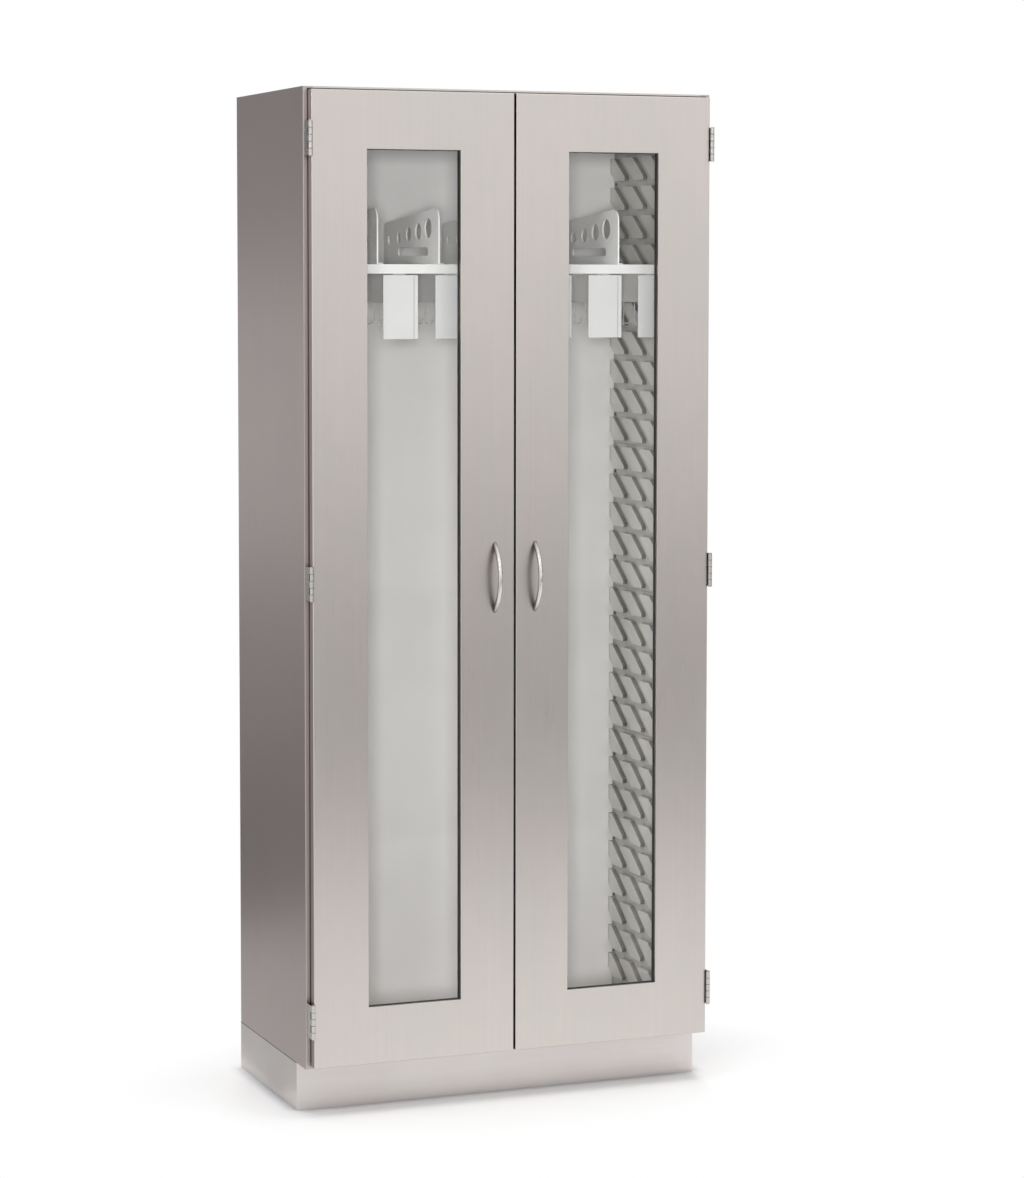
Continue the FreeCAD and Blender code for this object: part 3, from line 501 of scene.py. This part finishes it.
def bar(work, outline, low, high, axis):
    """A closed bar along an axis, 0 to 2, with an outline given in the two other axes."""
    closed(work, [[work.verts.new((*point[:axis], end, *point[axis:])) for point in outline]
                  for end in (low, high)])


def half_round(low, high, rise, steps, fullness=1.0):
    """A low rounded ridge as (across, out) points."""
    middle = (low + high) / 2
    half = (high - low) / 2
    turns = [math.pi * k / steps for k in range(steps + 1)]
    return [(middle + half * math.cos(turn), rise * math.sin(turn) ** fullness) for turn in turns]


def washer(work, x, y, z, radius, height):
    """A thin disc with rounded rims, standing a hair proud of the barrel it sits in."""
    profile = ((radius - WASHER_ROUND, -0.5), (radius, -0.25), (radius, 0.25), (radius - WASHER_ROUND, 0.5))
    turns = [math.tau * k / WASHER_STEPS for k in range(WASHER_STEPS)]
    rings = []
    for reach, level in profile:
        places = [(x + reach * math.cos(turn), y + reach * math.sin(turn), z + level * height)
                  for turn in turns]
        rings.append([work.verts.new(place) for place in places])
    closed(work, rings)


def rounded_rim(y_front, y_back, width):
    """A gasket's section as (inward, y) points, rounded at the front."""
    half = width / 2
    turns = [math.pi * k / GASKET_STEPS for k in range(1, GASKET_STEPS)]
    nose = [(half - half * math.cos(turn), y_front - half * math.sin(turn)) for turn in turns]
    return [(0.0, y_back), (0.0, y_front), *nose, (width, y_front), (width, y_back)]


def gasket(work, across, upright, section):
    """A closed ring with one section, lining a four-cornered opening."""
    corners = ((across[0], upright[0], 1, 1), (across[1], upright[0], -1, 1),
               (across[1], upright[1], -1, -1), (across[0], upright[1], 1, -1))
    rings = [[work.verts.new((x + dx * inward, y, z + dz * inward)) for inward, y in section]
             for x, z, dx, dz in corners]
    for near, far in zip(rings, rings[1:] + rings[:1]):
        join(work, near, far)


def rubber(name, work, body):
    """A finished rubber piece that rides on a body of the part."""
    bmesh.ops.recalc_face_normals(work, faces=work.faces)
    mesh = bpy.data.meshes.new(name)
    work.to_mesh(mesh)
    work.free()
    for face in mesh.polygons:
        face.use_smooth = True
    mesh.materials.append(materials["seal"])
    thing = bpy.data.objects.new(name, mesh)
    scene.collection.objects.link(thing)
    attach(thing, body)


strip_breaks = [STRIP_ENDS[0]]
for level in HINGE_LEVELS:
    strip_breaks += [level - STRIP_CLEAR, level + STRIP_CLEAR]
strip_breaks.append(STRIP_ENDS[1])

for side, sign in SIDES:
    # A dark strip on the front flange behind the door's hinged edge, broken at the hinge leaves; it stands
    # for the shade
    #     # in the gap there.
    work = bmesh.new()
    ridge = half_round(*STRIP_X, STRIP_RISE, STRIP_STEPS, STRIP_FULLNESS)
    for low, high in zip(strip_breaks[::2], strip_breaks[1::2]):
        bar(work, [(sign * x, FLANGE_Y - out) for x, out in ridge], low, high, 2)
    rubber(side + "_gap_shade_strip", work, "carcass")

    # Washers between the hinge knuckles.
    work = bmesh.new()
    for level in HINGE_LEVELS:
        first = level - HINGE_HALF + KNUCKLE + (KNUCKLE_STEP - KNUCKLE) / 2
        for joint in range(KNUCKLE_JOINTS):
            z = first + joint * KNUCKLE_STEP
            washer(work, sign * PIN[0], PIN[1], z, BARREL + WASHER_PROUD, WASHER_HEIGHT)
    rubber(side + "_hinge_washers", work, "carcass")

    # A thin gasket round the pane.
    work = bmesh.new()
    gasket(work, sorted(sign * x for x in WINDOW_X), WINDOW_Z, rounded_rim(*GASKET_Y, GASKET))
    rubber(side + "_window_gasket", work, side + "_door")

# A dark strip along the head, standing for the shade in the gap above the doors.
work = bmesh.new()
ridge = half_round(*HEAD_Z, STRIP_RISE, STRIP_STEPS, STRIP_FULLNESS)
bar(work, [(FLANGE_Y - out, z) for z, out in ridge], -STRIP_X[1], STRIP_X[1], 0)
rubber("head_gap_shade_strip", work, "carcass")

# A thin dark joint where the cabinet stands on the plinth, at both sides and the back.
work = bmesh.new()
ridge = half_round(PLINTH_TOP - JOINT_HALF, PLINTH_TOP + JOINT_HALF, JOINT_RISE, JOINT_STEPS)
for _, sign in SIDES:
    bar(work, [(sign * (PLINTH_X + out), z) for z, out in ridge], *PLINTH_Y, 1)
bar(work, [(PLINTH_Y[1] + out, z) for z, out in ridge], -PLINTH_X, PLINTH_X, 0)
rubber("plinth_joint", work, "carcass")

# The studio. The floor bounces little light on the cabinet and is seen as white, with its shadows.
FLOOR_TONE = 0.55
FLOOR_SEEN = 0.99
FLOOR_HALF = 30.0
FLOOR_STRETCH = (1.0, 1.5, 1.0)
SHADOW_REACH = (0.44, 0.82)
# A painted contact shadow where the cabinet stands on the floor: reach, colour and openness range.
CONTACT_REACH = 0.035
PAINTED_CONTACT_SHADE = (0.42, 0.42, 0.45)
CONTACT_OPEN = (0.5, 0.97)
AMBIENT = 0.22

# Cards as a studio has them. Those that stand behind, left and right for the sides: part, low, high, tone.
CARD_LIFT = 0.004
SIDE_CARD_X = (7.0, 0.9)
SIDE_CARD_Y = 4.6
SIDE_CARDS = (("low", 0.0, 0.7, 0.25), ("middle", 0.7, 1.75, 0.56), ("high", 1.75, 6.0, 0.24))

# Cards that lie on the floor, left and right for the sides and in front for the doors: part or name, near
# line and far line as (one x, other x, y), and tone.
FLOOR_CARDS = (
    ("near", (2.5, 0.47, 0.0), (3.0, 0.6, 1.7), 0.52),
    ("far", (3.0, 0.6, 1.7), (5.0, 0.9, 4.6), 0.12),
)
DOOR_CARDS = (
    ("door_floor", (0.0, 4.5, -3.2), (0.2, 6.5, -10.5), 0.04),
    ("left_floor_front", (-6.0, -0.8, -1.2), (-9.0, -1.6, -9.0), 0.6),
)

# A card that stands at the front on the right, for the round handles and hinges.
FRONT_CARD_X = 4.0
FRONT_CARD_Y = (-2.4, -0.4)
FRONT_CARD_TOP = 3.5
FRONT_CARD_TONE = 0.2

# Lamps: place, target, size, watts, and whether steel shows them as glints.
LAMPS = {
    "key": ((-2.67, -6.80, 1.80), (0, 0, 1.15), (0.9, 0.9), 240, False),
    "fill": ((-4.4, -5.0, 1.9), (0, 0, 1.2), (1.4, 1.8), 70, False),
    "front": ((1.0, -6.5, 1.6), (0, 0, 1.15), (3.0, 1.5), 45, False),
    "strip": ((-3.6, -4.4, 4.2), (0, -0.2, 1.4), (0.25, 4.6), 34, True),
    "crown": ((2.4, -4.4, 4.6), (0, -0.2, 1.6), (1.6, 1.6), 10, True),
    "rear": ((1.2, 5.2, 2.4), (0, 0, 1.1), (1.6, 1.6), 110, False),
    "top": ((0.0, -0.6, 4.8), (0, 0, 0), (3.0, 3.0), 160, False),
}


def seen_directly(tree):
    """One for a ray from the camera, a reflection or a pane, and zero for light that falls on things."""
    path = tree.nodes.new("ShaderNodeLightPath")
    total = path.outputs["Is Camera Ray"]
    for kind in ("Is Glossy Ray", "Is Transmission Ray"):
        node = tree.nodes.new("ShaderNodeMath")
        node.operation = "MAXIMUM"
        tree.links.new(total, node.inputs[0])
        tree.links.new(path.outputs[kind], node.inputs[1])
        total = node.outputs["Value"]
    return total


def plain(name, tone):
    """An even grey for a card of the studio, a share of the white round it, whatever the lamps do."""
    material = bpy.data.materials.new(name)
    material.use_nodes = True
    tree = material.node_tree
    grey = tree.nodes.new("ShaderNodeEmission")
    grey.inputs["Color"].default_value = (tone, tone, tone, 1)
    tree.links.new(grey.outputs["Emission"], tree.nodes["Material Output"].inputs["Surface"])
    return material


def floor_material():
    """Pale floor: matt round the cabinet, where its shadow falls, with a painted contact shadow at the
    cabinet's foot, and plain white further out.
    """
    g = Graph("floor_white")
    seen = seen_directly(g.tree)
    tone = g.mix(seen, shade(WHITE, FLOOR_TONE), shade(WHITE, FLOOR_SEEN))
    # Painted contact shadow where the cabinet stands close, by openness.
    painted_contact_shadow = g.ramp(g.openness(CONTACT_REACH), (CONTACT_OPEN[0], PAINTED_CONTACT_SHADE), (CONTACT_OPEN[1], WHITE))
    g.colour(g.times(tone, painted_contact_shadow))
    g.set(Roughness=1.0, Specular_IOR_Level=0.0)
    distance = g.add("ShaderNodeVectorMath", operation="LENGTH")
    g.link(g.stretched(FLOOR_STRETCH), distance.inputs[0])
    far = g.spread(distance.outputs["Value"], 0.0, 1.0, *SHADOW_REACH)
    white = g.add("ShaderNodeEmission")
    g.blend(g.math("MULTIPLY", far, seen), g.shader.outputs["BSDF"], white.outputs["Emission"])
    return g.material


def sheet(name, corners, material):
    """A flat four-cornered piece of the studio."""
    mesh = bpy.data.meshes.new(name)
    mesh.from_pydata(corners, [], [(0, 1, 2, 3)])
    mesh.materials.append(material)
    thing = bpy.data.objects.new(name, mesh)
    scene.collection.objects.link(thing)
    return thing


def card(name, corners, tone):
    """A grey card that only reflections show."""
    thing = sheet(name, corners, plain(name + "_grey", tone))
    thing.visible_camera = False
    thing.visible_diffuse = False
    thing.visible_shadow = False


def lying(name, near, far, tone):
    """A card on the floor, from one cross line to another, each given as (one x, other x, y)."""
    card(name, [(near[0], near[2], CARD_LIFT), (near[1], near[2], CARD_LIFT),
                (far[1], far[2], CARD_LIFT), (far[0], far[2], CARD_LIFT)], tone)


def standing(name, start, end, low, high, tone):
    """An upright card over a line on the floor, from one (x, y) to another."""
    card(name, [(*start, low), (*end, low), (*end, high), (*start, high)], tone)


def mirrored(line, sign):
    """A cross line on one side of the cabinet or the other."""
    return sign * line[0], sign * line[1], line[2]


def lamp(name, place, target, size, power, glints):
    """A soft lamp; only one with glints shows in the steel, so the sheets mirror the studio alone."""
    light = bpy.data.lights.new(name, "AREA")
    light.shape = "RECTANGLE"
    light.size, light.size_y = size
    light.energy = power
    thing = bpy.data.objects.new(name, light)
    thing.location = place
    thing.rotation_euler = (Vector(target) - Vector(place)).to_track_quat("-Z", "Y").to_euler()
    thing.visible_camera = False
    thing.visible_glossy = glints
    scene.collection.objects.link(thing)


sheet("floor", [(-FLOOR_HALF, -FLOOR_HALF, 0), (FLOOR_HALF, -FLOOR_HALF, 0),
                (FLOOR_HALF, FLOOR_HALF, 0), (-FLOOR_HALF, FLOOR_HALF, 0)], floor_material())

for side, sign in SIDES:
    outer, inner = [(sign * x, SIDE_CARD_Y) for x in SIDE_CARD_X]
    for part, low, high, tone in SIDE_CARDS:
        standing(side + "_card_" + part, outer, inner, low, high, tone)
    for part, near, far, tone in FLOOR_CARDS:
        lying(side + "_floor_" + part, mirrored(near, sign), mirrored(far, sign), tone)
standing("right_front", (FRONT_CARD_X, FRONT_CARD_Y[0]), (FRONT_CARD_X, FRONT_CARD_Y[1]),
         CARD_LIFT, FRONT_CARD_TOP, FRONT_CARD_TONE)
for name, near, far, tone in DOOR_CARDS:
    lying(name, near, far, tone)

for name, settings in LAMPS.items():
    lamp(name, *settings)

world = bpy.data.worlds.new("studio")
scene.world = world
world.use_nodes = True
tree = world.node_tree
ambient = tree.nodes["Background"]
ambient.inputs["Color"].default_value = (*WHITE, 1)
ambient.inputs["Strength"].default_value = AMBIENT
white = tree.nodes.new("ShaderNodeBackground")
white.inputs["Color"].default_value = (*WHITE, 1)
white.inputs["Strength"].default_value = 1.0
choice = tree.nodes.new("ShaderNodeMixShader")
tree.links.new(seen_directly(tree), choice.inputs["Fac"])
tree.links.new(ambient.outputs["Background"], choice.inputs[1])
tree.links.new(white.outputs["Background"], choice.inputs[2])
tree.links.new(choice.outputs["Shader"], tree.nodes["World Output"].inputs["Surface"])

camera_data = bpy.data.cameras.new("photo_camera")
camera = bpy.data.objects.new("photo_camera", camera_data)
scene.collection.objects.link(camera)
turn = math.radians(TURN_DEG)
dip = math.radians(DIP_DEG)
forward = Vector((math.sin(turn) * math.cos(dip), math.cos(turn) * math.cos(dip), -math.sin(dip)))
right = Vector((math.cos(turn), -math.sin(turn), 0))
up = right.cross(forward)
camera.matrix_world = Matrix.Translation(EYE) @ Matrix((right, up, -forward)).transposed().to_4x4()
camera_data.sensor_fit = "VERTICAL"
camera_data.sensor_height = SENSOR
camera_data.lens = FOCAL_PX * SENSOR / IMAGE_HEIGHT
camera_data.shift_x = (IMAGE_WIDTH / 2 - CENTRE_PX[0]) / IMAGE_HEIGHT
camera_data.shift_y = (CENTRE_PX[1] - IMAGE_HEIGHT / 2) / IMAGE_HEIGHT
camera_data.clip_end = CLIP_END
scene.camera = camera
